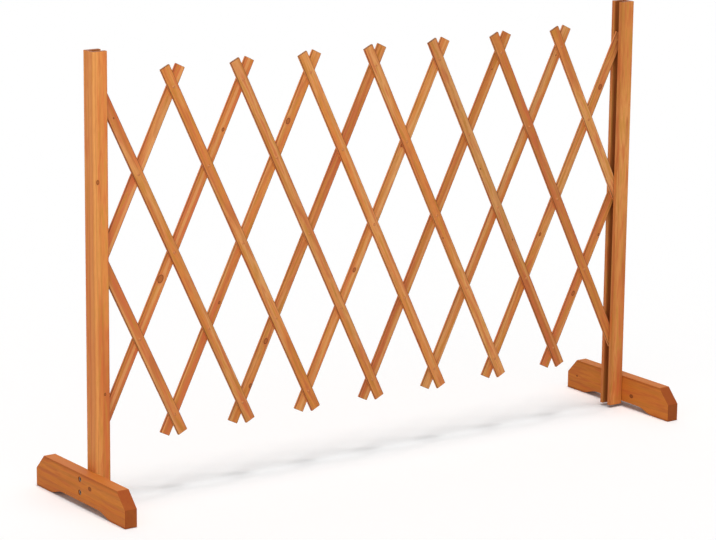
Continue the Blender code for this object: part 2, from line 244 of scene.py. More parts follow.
def stained_softwood(name, turn, stain, ring_width, late_strength, side_stain_and_shade, edge_soak_and_shade, gloss):
    """Planed spruce or pine under a translucent orange-brown stain.

    Its rings show as soft pale early wood that ends in a thin darker line of late wood. They run along
    the board and step round its knots, and sapwood stays paler. The stain soaks deeper into end grain,
    arrises and knots, lies a little unevenly from the brush, and dries to a low satin. Arrises and the strip
    beside them also carry painted shade, as do a foot's tops through the sawn sides' colour, and a post's
    channel and a foot's countersinks are darker from stain and painted shade. "stain" holds its colours and
    "late_strength" is how strongly late wood shows. The next argument is how far the sawn sides take their
    own colour, which on a foot's tops is painted shade. The one after it is how much darker an arris and the
    strip beside it are, from stain and painted shade.
    """
    pale, body, red, honey, deep, drunk_and_shade, sawn, knot = [linear(colour) for colour in stain]
    material, tree = new_material(name)
    coordinates = add(tree, "ShaderNodeTexCoord")
    place = add(tree, "ShaderNodeMapping", {"Vector": coordinates["Object"], "Rotation": turn})[0]
    across, into, along = add(tree, "ShaderNodeSeparateXYZ", (place,))
    values = [add(tree, "ShaderNodeAttribute", attribute_name=label)["Vector"] for label in BOARD_VALUES]
    (heart_across, heart_into, seed), (sap_across, sap_into, sap_radius), (board_across, half, tone) = [
        add(tree, "ShaderNodeSeparateXYZ", (value,)) for value in values]

    # The heart of the tree wanders over half a metre of board, and does so its own way in each
    lot = add(tree, MATH, (seed, 40.0), operation="MULTIPLY")[0]
    lot = add(tree, "ShaderNodeCombineXYZ", {"Z": lot})[0]
    shifted = add(tree, VECTOR_MATH, (place, (9.0, 9.0, 2.4), lot), operation="MULTIPLY_ADD")[0]
    wander = add(tree, "ShaderNodeTexNoise", {"Vector": shifted, "Scale": 1.0, "Detail": 2.0})[0]
    wander = add(tree, MATH, (wander, 2 * HEART_WANDER, -HEART_WANDER), operation="MULTIPLY_ADD")[0]
    steps, nears, barks = zip(*[knotted(tree, across, along, label) for label in KNOT_NAMES])
    stepped = across
    for step in steps:
        stepped = add(tree, MATH, (stepped, step), operation="SUBTRACT")[0]

    # Where the point lies in the tree that the board was cut from
    point = add(tree, "ShaderNodeCombineXYZ", (stepped, into))[0]
    heart = add(tree, "ShaderNodeCombineXYZ", (heart_across, heart_into))[0]
    from_heart = add(tree, VECTOR_MATH, (point, heart), operation="DISTANCE")["Value"]
    from_heart = add(tree, MATH, (from_heart, wander), operation="ADD")[0]
    year = add(tree, MATH, (from_heart, ring_width), operation="DIVIDE")[0]
    ring = add(tree, MATH, (year,), operation="FRACT")[0]
    late = [add(tree, "ShaderNodeMapRange", (ring, *span), interpolation_type="SMOOTHSTEP")[0]
            for span in ((0.30, 0.90), (1.0, 0.92))]
    late = add(tree, MATH, late, operation="MULTIPLY")[0]
    sap = add(tree, "ShaderNodeCombineXYZ", (sap_across, sap_into))[0]
    from_sap = add(tree, VECTOR_MATH, (point, sap), operation="DISTANCE")["Value"]
    from_sap = add(tree, MATH, (wander, 0.16, from_sap), operation="MULTIPLY_ADD")[0]
    from_sap = add(tree, MATH, (from_sap, sap_radius), operation="DIVIDE")[0]

    # Wide bands where years of slow and fast growth took the stain differently
    slow = add(tree, MATH, (year, 0.62), operation="MULTIPLY")[0]
    drift = add(tree, MATH, (seed, 9.0), operation="MULTIPLY")[0]
    drift = add(tree, MATH, (along, 2.2, drift), operation="MULTIPLY_ADD")[0]
    years = add(tree, "ShaderNodeCombineXYZ", (slow, seed, drift))[0]
    band, warm = [add(tree, "ShaderNodeTexNoise", {"Vector": years, **values})[0] for values in (
        {"Scale": 1.0, "Detail": 3.0, "Roughness": 0.55}, {"Scale": 0.7, "Detail": 2.0, "Distortion": 0.4})]
    # The brush left the stain uneven in streaks some 7 mm wide and 70 mm long
    brushed = add(tree, "ShaderNodeMapping", {"Vector": place, "Scale": (140.0, 140.0, 14.0)})[0]
    uneven = add(tree, "ShaderNodeTexNoise",
                 {"Vector": brushed, "Scale": 1.0, "Detail": 2.0, "Roughness": 0.45})[0]
    # Fibres are about 0.04 mm wide, drawn 20 times as coarse so that they show at all
    fibres = add(tree, "ShaderNodeMapping", {"Vector": place, "Scale": (1250.0, 1250.0, 38.0)})[0]
    fibre = add(tree, "ShaderNodeTexNoise", {"Vector": fibres, "Scale": 1.0, "Detail": 2.0})[0]
    near = add(tree, MATH, nears, operation="MINIMUM")[0]
    near = add(tree, MATH, (uneven, 0.35, near), operation="MULTIPLY_ADD")[0]
    milled = add(tree, "ShaderNodeAttribute", attribute_name="milled")["Fac"]

    # A knot's own fine rings, inside the dark line of its bark, which fills a small knot
    core = [add(tree, MATH, (near, limit), operation=operation)[0]
            for operation, limit in (("PINGPONG", 0.17), ("LESS_THAN", 1.15))]
    core = add(tree, MATH, core, operation="MULTIPLY")[0]
    bark = add(tree, MATH, barks, operation="MINIMUM")[0]

    # How squarely the surface faces across the grain, out of the board and along the grain
    facing = add(tree, "ShaderNodeMapping", {"Vector": coordinates["Normal"], "Rotation": turn},
                 vector_type="VECTOR")[0]
    facing = add(tree, VECTOR_MATH, (facing,), operation="ABSOLUTE")[0]
    side, face, end = add(tree, "ShaderNodeSeparateXYZ", (facing,))
    turned_to = add(tree, MATH, (side, face), operation="ADD")[0]
    arris = add(tree, MATH, (end, turned_to), operation="MULTIPLY")[0]
    arris = add(tree, MATH, (side, face, arris), operation="MULTIPLY_ADD")[0]

    # How far out the point lies, from 0 in the middle of the board's width to 1 at its edges
    rim = across
    for operation, other in (("SUBTRACT", board_across), ("ABSOLUTE", 0), ("DIVIDE", half),
                             ("MULTIPLY", face)):
        rim = add(tree, MATH, (rim, other), operation=operation)[0]

    # Each coat: what drives it, from where to where it grows, how strong it gets, and its colour
    coats = (
        (band, 0.40, 0.66, 1.0, pale),
        (warm, 0.50, 0.66, 0.85, red),
        (uneven, 0.48, 0.70, 0.75, red),
        (uneven, 0.52, 0.32, 0.70, honey),
        (from_sap, 1.10, 0.82, 0.60, pale),
        (late, 0.0, 1.0, late_strength, deep),
        (fibre, 0.42, 0.75, 0.22, deep),
        (near, 2.30, 1.10, 0.60, red),
        (near, 1.30, 1.05, 0.75, knot),
        (core, 0.03, 0.17, 0.30, BARK_BROWN),
        (bark, 0.0013, 0.0003, 0.62, BARK_BROWN),
        # The sawn sides' own colour; a foot's sawn sides are its top and bottom, and there it paints shade onto
        # the top
        (side, 0.60, 0.98, side_stain_and_shade, sawn),
        # Painted shade, with stain taken in, along the arrises and the strip of face beside them
        (rim, 0.80, 0.98, edge_soak_and_shade * 0.9, drunk_and_shade),
        (arris, 0.10, 0.42, edge_soak_and_shade, drunk_and_shade),
        (end, 0.35, 0.85, 0.72, drunk_and_shade),
        # Darker stain and painted shade inside a post's channel and a foot's countersinks
        (milled, 0.0, 1.0, 0.68, MILLED_SOAK_AND_SHADE_BROWN),
    )
    colour = body
    for driver, low, high, most, coat in coats:
        share = add(tree, "ShaderNodeMapRange", (driver, low, high, 0.0, most),
                    interpolation_type="SMOOTHSTEP")[0]
        # A Mix node's colours are its inputs 6 and 7 and its output 2
        colour = add(tree, "ShaderNodeMix", {0: share, 6: colour, 7: coat}, data_type="RGBA")[2]
    tone = add(tree, MATH, (tone, 0.14, 0.93), operation="MULTIPLY_ADD")[0]
    colour = add(tree, "ShaderNodeHueSaturation", {"Color": colour, "Value": tone})[0]

    rough = add(tree, MATH, (late, -0.08, gloss), operation="MULTIPLY_ADD")[0]
    rough = add(tree, MATH, (fibre, 0.12, rough), operation="MULTIPLY_ADD")[0]
    ridge = add(tree, MATH, (fibre, 1.2, late), operation="MULTIPLY_ADD")[0]
    bump = add(tree, "ShaderNodeBump", {"Height": ridge, "Strength": 0.40, "Distance": 0.00015})[0]
    shader = add(tree, "ShaderNodeBsdfPrincipled", {"Base Color": colour, "Roughness": rough,
                                                    "Normal": bump, "Specular IOR Level": 0.13})[0]
    add(tree, "ShaderNodeOutputMaterial", {"Surface": shader})
    return material


def worn_steel(name, colour, shade, roughness, metallic, recess=None):
    """Plated steel with scuffs 0.4 mm wide, and patches of stain some 2 mm wide that dried on it.

    "recess" gives the distances from the trellis's middle between which a screw's recess darkens, as painted
    shade.
    """
    material, tree = new_material(name)
    place = add(tree, "ShaderNodeTexCoord")["Object"]
    coarse = add(tree, "ShaderNodeTexNoise", {"Vector": place, "Scale": 520.0, "Detail": 3.0})[0]
    fine = add(tree, "ShaderNodeTexNoise", {"Vector": place, "Scale": 2600.0, "Detail": 2.0})[0]
    cover = add(tree, "ShaderNodeMapRange", (coarse, 0.36, 0.66), interpolation_type="SMOOTHSTEP")[0]
    colour = add(tree, "ShaderNodeMix", {0: cover, 6: linear(colour), 7: linear(shade)}, data_type="RGBA")[2]
    # Painted shade: the recess is painted near-black and less metallic, the more so the deeper it lies under the
    # foot's face
    if recess:
        out = add(tree, VECTOR_MATH, (place,), operation="ABSOLUTE")[0]
        out = add(tree, "ShaderNodeSeparateXYZ", (out,))["X"]
        painted_shade = add(tree, "ShaderNodeMapRange", (out, recess[1], recess[0], 0.0, 0.94))[0]
        colour = add(tree, "ShaderNodeMix", {0: painted_shade, 6: colour, 7: RECESS_SHADE}, data_type="RGBA")[2]
        metallic = add(tree, MATH, (metallic, painted_shade), operation="SUBTRACT")[0]
    rough = add(tree, MATH, (fine, 0.22, roughness - 0.11), operation="MULTIPLY_ADD")[0]
    bump = add(tree, "ShaderNodeBump", {"Height": fine, "Strength": 0.25, "Distance": 0.0001})[0]
    shader = add(tree, "ShaderNodeBsdfPrincipled", {"Base Color": colour, "Roughness": rough,
                                                    "Normal": bump, "Metallic": metallic})[0]
    add(tree, "ShaderNodeOutputMaterial", {"Surface": shader})
    return material


# How each board's grain, which the wood's pattern has along Z, lies in the trellis
TURNS = {
    "post": Matrix.Identity(3),
    "foot": Matrix(((0, 0, 1), (1, 0, 0), (0, 1, 0))),
    "front_slat": Matrix.Rotation(LEAN, 3, "Y"),
    "back_slat": Matrix.Rotation(-LEAN, 3, "Y"),
}
# Each stain's colours: sapwood, the board's own, where it lies redder and yellower, late wood, where it
# took in more stain, which at arrises is also painted shade, the board's sawn sides, which on a foot's tops
# are painted shade, and knots
POST_STAIN = ("f4a85e", "e8934c", "da753e", "d89340", "ac5e26", "74401c", "da753e", "b8672f")
FOOT_STAIN = ("dd8838", "d57b31", "ca6a31", "d07d2e", "a25420", "8a3c19", "a65e24", "8a4a1e")
SLAT_STAIN = ("eeac6a", "e48e48", "d67244", "cf8a38", "a75c24", "5c341c", "d67244", "b8672f")
BARK_BROWN = linear("4a2410")
# Darker stain and painted shade inside a post's channel and a foot's countersinks
MILLED_SOAK_AND_SHADE_BROWN = linear("7c3812")
# The near-black painted shade in a screw's recess
RECESS_SHADE = linear("1d1510")
# Each wood's grain, in the order that stained_softwood takes it
SLAT_GRAIN = (SLAT_STAIN, 0.0070, 0.24, 0.35, 0.78, 0.52)
WOODS = {kind: stained_softwood(name, TURNS[kind].to_euler(), *grain) for kind, name, grain in (
    ("post", "Orange-brown stained softwood, planed posts", (POST_STAIN, 0.0090, 0.24, 0.30, 0.14, 0.54)),
    # The feet's strong sawn-side colour paints shade onto their tops
    ("foot", "Red-brown stained softwood, sawn feet", (FOOT_STAIN, 0.0190, 0.22, 0.68, 0.55, 0.58)),
    ("front_slat", "Orange-brown stained softwood, front slats", SLAT_GRAIN),
    ("back_slat", "Orange-brown stained softwood, back slats", SLAT_GRAIN),
)}
RIVET_METAL = worn_steel("Stained-over steel, rivets", "dc8c4c", "c0733a", 0.50, 0.15)
PIN_METAL = worn_steel("Zinc-plated steel, post pins", "b9a88c", "9b7448", 0.45, 0.8)
SCREW_METAL = worn_steel("Zinc-plated steel, foot screws", "a8a399", "847b6c", 0.42, 1.0,
                         [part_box("right_foot")[1].x - depth for depth in RECESS_SHADE_DEPTHS])


def new_object(name, data):
    """A new object in the scene."""
    made = bpy.data.objects.new(name, data)
    bpy.context.scene.collection.objects.link(made)
    return made


def mesh_object(name, points, faces):
    """An object of these points and faces, with its faces turned outwards."""
    mesh = bpy.data.meshes.new(name)
    mesh.from_pydata([tuple(p) for p in points], [], faces)
    form = bmesh.new()
    form.from_mesh(mesh)
    bmesh.ops.recalc_face_normals(form, faces=form.faces)
    form.to_mesh(mesh)
    form.free()
    return new_object(name, mesh)


def settled(piece, name):
    """A plain mesh of a piece with its modifiers applied, in the piece's place."""
    bpy.context.view_layer.update()
    depsgraph = bpy.context.evaluated_depsgraph_get()
    plain = new_object(name, bpy.data.meshes.new_from_object(piece.evaluated_get(depsgraph)))
    bpy.data.objects.remove(piece)
    return plain


def smooth(piece):
    """Shades a board smooth round its edges, with its large flat faces kept flat."""
    piece.data.shade_smooth()
    piece.data.set_sharp_from_angle(angle=SMOOTH_WOOD)
    even = piece.modifiers.new("flat faces stay flat", "WEIGHTED_NORMAL")
    even.keep_sharp = True


def shade_turned(piece):
    """Shades turned metal smooth, with its steps kept sharp."""
    piece.data.shade_smooth()
    piece.data.set_sharp_from_angle(angle=SMOOTH_METAL)


def cut(piece, cutters):
    """Cuts holes in a piece and removes the cutters."""
    for cutter in cutters:
        hole = piece.modifiers.new("hole", "BOOLEAN")
        hole.operation = "DIFFERENCE"
        hole.solver = "EXACT"
        hole.object = cutter
    plain = settled(piece, piece.name + "_cut")
    for cutter in cutters:
        bpy.data.objects.remove(cutter)
    return plain


def turned(name, profile, place=(0, 0, 0), axis=(0, 1, 0)):
    """A turned part: (along, radius) steps spun about an axis that points along the profile."""
    place, axis = Vector(place), Vector(axis)
    aside = axis.orthogonal().normalized()
    up = axis.cross(aside)
    points, faces, rings = [], [], []
    for along, radius in profile:
        if radius == 0:
            rings.append([len(points)] * ROUND_STEPS)
            points.append(place + axis * along)
            continue
        rings.append(list(range(len(points), len(points) + ROUND_STEPS)))
        for step in range(ROUND_STEPS):
            angle = 2 * math.pi * step / ROUND_STEPS
            out = aside * math.cos(angle) + up * math.sin(angle)
            points.append(place + axis * along + out * radius)
    for low, high in zip(rings, rings[1:]):
        for step in range(ROUND_STEPS):
            after = (step + 1) % ROUND_STEPS
            face = [low[step], low[after], high[after], high[step]]
            faces.append(list(dict.fromkeys(face)))  # a triangle where the profile meets the axis
    return mesh_object(name, points, faces)


def rounded(corners, steps=5):
    """An outline with each corner, given as across, up and radius, turned to an arc."""
    outline = []
    for index, (u, v, radius) in enumerate(corners):
        here = Vector((u, v))
        before = (Vector(corners[index - 1][:2]) - here).normalized()
        after = (Vector(corners[(index + 1) % len(corners)][:2]) - here).normalized()
        if radius == 0:
            outline.append(here)
            continue
        half = before.angle(after) / 2
        reach = radius / math.tan(half)
        middle = here + (before + after).normalized() * radius / math.sin(half)
        start, end = here + before * reach - middle, here + after * reach - middle
        turn = math.atan2(start.x * end.y - start.y * end.x, start.dot(end))
        for step in range(steps + 1):
            angle = turn * step / steps
            outline.append(middle + Vector((start.x * math.cos(angle) - start.y * math.sin(angle),
                                            start.x * math.sin(angle) + start.y * math.cos(angle))))
    return outline


def drawn_in(outline, distance):
    """An outline with every point drawn in square to its neighbours. The outline runs anticlockwise."""
    moved = []
    for index, here in enumerate(outline):
        along = outline[(index + 1) % len(outline)] - outline[index - 1]
        moved.append(here + Vector((-along.y, along.x)).normalized() * distance)
    return moved


def board(name, outline, low, high, ease, to_place):
    """An outline drawn out from low to high, with both end edges rounded."""
    levels = []
    for step in range(EASE_STEPS + 1):
        angle = QUARTER * step / EASE_STEPS
        levels.append((low + ease * (1 - math.sin(angle)), ease * (1 - math.cos(angle))))
    levels.reverse()
    levels += [(high - (level - low), inset) for level, inset in reversed(levels)]
    points, faces = [], []
    count = len(outline)
    for level, inset in levels:
        points += [to_place(p.x, p.y, level) for p in drawn_in(outline, inset)]
    for ring in range(len(levels) - 1):
        for index in range(count):
            after = (index + 1) % count
            faces.append([ring * count + index, ring * count + after,
                          (ring + 1) * count + after, (ring + 1) * count + index])
    faces.append(list(reversed(range(count))))
    faces.append(list(range((len(levels) - 1) * count, len(levels) * count)))
    return mesh_object(name, points, faces)


def middle_of(node):
    """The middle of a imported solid's box."""
    return [(low + high) / 2 for low, high in zip(*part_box(node))]


def channel_outline(name):
    """The corners of a channel post seen from above, each with x, y and radius."""
    low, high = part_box(name)
    outer, inner = (low.x, high.x) if name.startswith("left") else (high.x, low.x)
    way = 1 if inner > outer else -1
    web = outer + way * POST_WEB
    mouth = high.y - POST_FLANGE
    back = [(outer, high.y, POST_CORNER), (inner, high.y, POST_CORNER), (inner, mouth, CHANNEL_CORNER),
            (web, mouth, CHANNEL_CORNER)]
    corners = [(x, -y, radius) for x, y, radius in back] + back[::-1]
    return corners if way == 1 else corners[::-1]


def foot_outline():
    """The corners of a foot seen from its side, along y and up, from the middle of its arch."""
    _, end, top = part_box("left_foot")[1]
    arch = []
    for step in range(ARCH_STEPS + 1):
        share = step / ARCH_STEPS
        rise = FOOT_ARCH_RISE * (1 - math.cos(math.pi * share)) / 2
        arch.append((end - FOOT_PAD - FOOT_ARCH_RUN * share, rise))
    right = [(y, z, 0) for y, z in reversed(arch)]
    right += [(end, 0, FOOT_TOE_CORNER), (end, top - FOOT_CHAMFER_DROP, FOOT_CHAMFER_CORNER),
              (end - FOOT_CHAMFER_LENGTH, top, FOOT_CHAMFER_CORNER)]
    left = [(-y, z, radius) for y, z, radius in reversed(right)]
    return right + left


def set_grain(piece, kind, name, middle, width):
    """Writes what the pattern needs: the tree's heart, knots and sapwood, and the board's width."""
    centre = TURNS[kind] @ Vector(middle)
    dice = random.Random(name)
    heart = (centre.x + dice.uniform(-HEART_ACROSS, HEART_ACROSS),
             centre.y + dice.choice((-1, 1)) * dice.uniform(*HEART_INTO), dice.random())
    knots = list(SHOWN_KNOTS.get(name, ()))
    while len(knots) < len(KNOT_NAMES):
        shows = dice.choice(KNOT_CHANCES)
        knot = (dice.uniform(-KNOT_ALONG, KNOT_ALONG), dice.uniform(-KNOT_ACROSS, KNOT_ACROSS), SMALL_KNOT)
        knots.append(knot if shows else NO_KNOT)
    sap_across, sap_into, sap_radius = SAPWOOD.get(name) or (
        dice.uniform(-SAP_ACROSS, SAP_ACROSS), dice.uniform(-SAP_INTO, SAP_INTO), dice.choice(SAP_RADII))
    sapwood = (centre.x + sap_across, centre.y + sap_into, sap_radius)
    board_width = (centre.x, width / 2, TONES.get(name, dice.random()))
    values = dict(zip(BOARD_VALUES, (heart, sapwood, board_width)))
    for knot_name, (along, across, radius) in zip(KNOT_NAMES, knots):
        values[knot_name] = (centre.x + across, centre.z + along, radius)
    for attribute, value in values.items():
        written = piece.data.attributes.new(attribute, "FLOAT_VECTOR", "POINT")
        written.data.foreach_set("vector", value * len(piece.data.vertices))


def mark_channel(post, name):
    """Marks a post's machined channel, whose rougher faces drank more stain and carry painted shade, and its sawn
    edges a little.
    """
    low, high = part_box(name)
    inner = high.x if name.startswith("left") else low.x
    flange = high.y - POST_FLANGE + CHANNEL_CORNER * 1.1  # from just past the channel's rounded edge
    milled = []
    for vertex in post.data.vertices:
        depth = abs(vertex.co.x - inner)
        if abs(vertex.co.y) > flange:
            milled.append(EDGE_SHARE * max(0.0, 1.0 - depth / POST_CORNER))
        else:
            # It may grow past 1, where the pattern stops it, so that it stays even between far corners
            milled.append(EDGE_SHARE + (1.0 - EDGE_SHARE) * depth / MILLED_FADE)
    post.data.attributes.new("milled", "FLOAT", "POINT").data.foreach_set("value", milled)


def mark_countersinks(foot, heights):
    """Marks the insides of a foot's screw holes, where the cut fibres drank more stain and where shade is painted.
    """
    reach = SCREW_HEAD_RADIUS + COUNTERSINK_LIP + CUT_EDGE
    milled = []
    for face in foot.data.polygons:
        corners = [foot.data.vertices[index].co for index in face.vertices]
        inside = any(all(math.hypot(c.y, c.z - height) < reach for c in corners) for height in heights)
        milled.append(1.0 if inside else 0.0)
    foot.data.attributes.new("milled", "FLOAT", "FACE").data.foreach_set("value", milled)


def hand_over(piece, name, body, material, nodes):
    """Names a finished piece, gives it its material, sets it on the body it rides on, and hides the imported
    solids that it stands for.
    """
    piece.name = name
    piece.data.name = name
    piece.data.materials.clear()
    piece.data.materials.append(material)
    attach(piece, body)
    if nodes:
        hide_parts(*nodes)


def make_post(side):
    """A channel post, bored from its back for the pin."""
    name = f"{side}_post"
    low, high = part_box(name)
    outline = rounded(channel_outline(name))
    post = board(name, outline, low.z, high.z, CUT_EDGE, lambda u, v, w: Vector((u, v, w)))
    tip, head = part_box(f"{name}_pin")
    x, _, z = middle_of(f"{name}_pin")
    blind, ledge = tip.y - PIN_EASE, head.y - PIN_HEAD_DEPTH - PIN_EASE
    bore = turned("bore", [(blind, 0), (blind, PIN_HOLE), (ledge, PIN_HOLE), (ledge, PIN_HEAD_HOLE),
                           (high.y + CUT_PAST, PIN_HEAD_HOLE), (high.y + CUT_PAST, 0)],
                  (x, 0, z))
    post = cut(post, [bore])
    set_grain(post, "post", name, (middle_of(name)[0], 0, MIDDLE), high.x - low.x)
    mark_channel(post, name)
    smooth(post)
    hand_over(post, f"{side}_channel_post", name, WOODS["post"], [name])


def make_foot(side):
    """A sawn foot with a rounded top edge, countersunk for its two screws."""
    name = f"{side}_foot"
    low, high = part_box(name)
    foot = board(name, rounded(foot_outline()), low.x, high.x, FOOT_CORNER,
                 lambda u, v, w: Vector((w, u, v)))
    heights = [middle_of(f"{name}_screw_{place}")[2] for place in SCREW_PLACES]
    inward = 1 if side == "left" else -1
    face = low.x if side == "left" else high.x
    lip, bore = SCREW_HEAD_RADIUS + COUNTERSINK_LIP, SCREW_RADIUS + SCREW_PLAY
    cone = [(-CUT_PAST, 0), (-CUT_PAST, lip), (0.0, lip), (SCREW_SINK, SCREW_HEAD_RADIUS + SCREW_PLAY),
            (SCREW_SINK + SCREW_HEAD_DEPTH, bore), (SCREW_BORE, bore), (SCREW_BORE, 0)]
    foot = cut(foot, [turned("countersink", cone, (face, 0, height), (inward, 0, 0)) for height in heights])
    x, _, z = middle_of(name)
    set_grain(foot, "foot", name, (x, 0, z), high.z - low.z)
    mark_countersinks(foot, heights)
    smooth(foot)
    hand_over(foot, f"{side}_sawn_foot", f"{side}_post", WOODS["foot"], [name])


def screw_part():
    """A countersunk screw that points along +Y from its head's face, with a dished cross recess."""
    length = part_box("left_foot_screw_lower")[1].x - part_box("left_foot")[0].x - SCREW_SINK
    profile = [(DISH_DEPTH, 0), (DISH_DEPTH, DISH_RADIUS * DISH_FLOOR), (0.0, DISH_RADIUS),
               (0.0, SCREW_HEAD_RADIUS - SCREW_RIM), (SCREW_RIM, SCREW_HEAD_RADIUS),
               (SCREW_HEAD_DEPTH, SCREW_RADIUS), (length - SCREW_POINT, SCREW_RADIUS), (length, 0)]
    screw = turned("screw", profile)
    points = []
    for depth, share in ((-CROSS_DEPTH, 1.0), (CROSS_DEPTH, CROSS_TAPER)):
        long, wide = CROSS_LENGTH / 2 * share, CROSS_WIDTH / 2 * share
        for turn in range(4):
            arm = Matrix.Rotation(CROSS_TURN - QUARTER * turn, 3, "Y")
            points += [arm @ Vector((wide, depth, wide)), arm @ Vector((wide, depth, long)),
                       arm @ Vector((-wide, depth, long))]
    count = len(points) // 2
    faces = []
    for index in range(count):
        after = (index + 1) % count
        faces.append([index, after, count + after, count + index])
    faces += [list(range(count)), list(range(2 * count - 1, count - 1, -1))]
    return cut(screw, [mesh_object("driver recess", points, faces)])


def make_screws(side, row, screw):
    """The two screws that hold a foot to its post."""
    nodes = [f"{side}_foot_screw_{place}" for place in SCREW_PLACES]
    heights = [middle_of(node)[2] for node in nodes]
    foot_low, foot_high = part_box(f"{side}_foot")
    head = foot_low.x + SCREW_SINK if side == "left" else foot_high.x - SCREW_SINK
    screws = run_tree(row, "screws", {"Part": screw, "First": 0.0, "Pitch": heights[1] - heights[0],
                                      "Count": len(nodes), "Tilt": 0.0, "Seed": len(side),
                                      "Material": SCREW_METAL})
    turn = Matrix.Rotation(-QUARTER if side == "left" else QUARTER, 4, "Z")
    screws.data.transform(Matrix.Translation((head, 0, heights[0])) @ turn)
    shade_turned(screws)
    hand_over(screws, f"{side}_foot_screws", f"{side}_post", SCREW_METAL, nodes)


def make_pin(side):
    """A turned pin, driven in from the back until its flat head lies just under the post's back face."""
    node = f"{side}_post_pin"
    low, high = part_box(node)
    x, _, z = middle_of(node)
    profile = [(low.y, 0), (low.y, PIN_RADIUS - PIN_EASE), (low.y + PIN_EASE, PIN_RADIUS),
               (high.y - PIN_HEAD_DEPTH, PIN_RADIUS), (high.y - PIN_HEAD_DEPTH, PIN_HEAD_RADIUS),
               (high.y - PIN_EASE, PIN_HEAD_RADIUS), (high.y, PIN_HEAD_RADIUS - PIN_EASE), (high.y, 0)]
    pin = turned(node, profile, (x, 0, z))
    shade_turned(pin)
    hand_over(pin, f"{side}_turned_pin", f"{side}_post", PIN_METAL, [node])


def new_inputs(tree, inputs):
    """Gives a geometry tree its named inputs and one output, and returns the inputs' node."""
    kinds = {"length": "NodeSocketFloat", "whole": "NodeSocketInt", "object": "NodeSocketObject",
             "material": "NodeSocketMaterial", "geometry": "NodeSocketGeometry"}
    for label, kind in inputs:
        tree.interface.new_socket(name=label, in_out="INPUT", socket_type=kinds[kind])
    tree.interface.new_socket(name="Geometry", in_out="OUTPUT", socket_type=kinds["geometry"])
    return add(tree, "NodeGroupInput")


def run_tree(tree, name, values):
    """The plain mesh object that a geometry tree makes from these inputs."""
    carrier = new_object(name + "_carrier", bpy.data.meshes.new(name))
    modifier = carrier.modifiers.new(tree.name, "NODES")
    modifier.node_group = tree
    for item in tree.interface.items_tree:
        if item.in_out == "INPUT" and item.name in values:
            modifier[item.identifier] = values[item.name]
    return settled(carrier, name)


def slat_tree():
    """A slat as a slit strip with planed edges and sawn ends, bored by a row of cutters.

    It runs along Z, with its width along X, its front on -Y, and its middle pivot at the origin.
    """
    tree = bpy.data.node_groups.new("Trellis slat", "GeometryNodeTree")
    given = new_inputs(tree, (("Width", "length"), ("Thickness", "length"), ("Edge radius", "length"),
                              ("Bottom", "length"), ("Top", "length"), ("Front face", "length"),
                              ("End ease", "length"), ("Cutters", "object"), ("Material", "material")))
    section = add(tree, "GeometryNodeCurvePrimitiveQuadrilateral",
                  {"Width": given["Width"], "Height": given["Thickness"]})[0]
    section = add(tree, "GeometryNodeFilletCurve",
                  {"Curve": section, "Count": EASE_STEPS, "Radius": given["Edge radius"]}, mode="POLY")[0]
    face = add(tree, "GeometryNodeFillCurve", {"Curve": section}, mode="NGONS")[0]
    ease = given["End ease"]
    bottom = add(tree, MATH, (given["Bottom"], ease), operation="ADD")[0]
    top = add(tree, MATH, (given["Top"], ease), operation="SUBTRACT")[0]
    length = add(tree, MATH, (top, bottom), operation="SUBTRACT")[0]
    body = add(tree, "ShaderNodeCombineXYZ", {"Z": length})[0]
    strip = add(tree, "GeometryNodeExtrudeMesh", {"Mesh": face, "Offset": body, "Offset Scale": 1.0,
                                                  "Individual": False}, mode="FACES")["Mesh"]
    lower = add(tree, "GeometryNodeFlipFaces", {"Mesh": face})[0]
    strip = add(tree, "GeometryNodeJoinGeometry", {"Geometry": strip})[0]
    tree.links.new(lower, strip.node.inputs[0])
    strip = add(tree, "GeometryNodeMergeByDistance", {"Geometry": strip, "Distance": 1e-6})[0]
    normal = add(tree, "GeometryNodeInputNormal")[0]
    end = add(tree, VECTOR_MATH, (normal, (0.0, 0.0, 1.0)), operation="DOT_PRODUCT")["Value"]
    end = add(tree, MATH, (end,), operation="ABSOLUTE")[0]
    is_end = add(tree, MATH, (end, 0.5), operation="GREATER_THAN")[0]
    ends = add(tree, "GeometryNodeExtrudeMesh", {"Mesh": strip, "Selection": is_end, "Offset Scale": ease,
                                                 "Individual": False}, mode="FACES")
    place = add(tree, "GeometryNodeInputPosition")[0]
    quadrant = add(tree, VECTOR_MATH, (place,), operation="SIGN")[0]
    inward = add(tree, VECTOR_MATH, (quadrant, (-1.0, -1.0, 0.0)), operation="MULTIPLY")[0]
    inset = add(tree, VECTOR_MATH, {0: inward, "Scale": ease}, operation="SCALE")[0]
    ends = add(tree, "GeometryNodeSetPosition", {"Geometry": ends["Mesh"], "Selection": ends["Top"],
                                                 "Offset": inset})[0]
    middle = add(tree, MATH, (given["Thickness"], 0.5, given["Front face"]), operation="MULTIPLY_ADD")[0]
    shift = add(tree, "ShaderNodeCombineXYZ", {"Y": middle, "Z": bottom})[0]
    slat = add(tree, "GeometryNodeTransform", {"Geometry": ends, "Translation": shift})[0]
    cutters = add(tree, "GeometryNodeObjectInfo", {"Object": given["Cutters"]})["Geometry"]
    slat = add(tree, "GeometryNodeMeshBoolean", {"Mesh 1": slat, "Mesh 2": cutters}, operation="DIFFERENCE",
               solver="EXACT")[0]
    slat = add(tree, "GeometryNodeRealizeInstances", {"Geometry": slat})[0]
    slat = add(tree, "GeometryNodeSetMaterial", {"Geometry": slat, "Material": given["Material"]})[0]
    add(tree, "NodeGroupOutput", (slat,))
    return tree


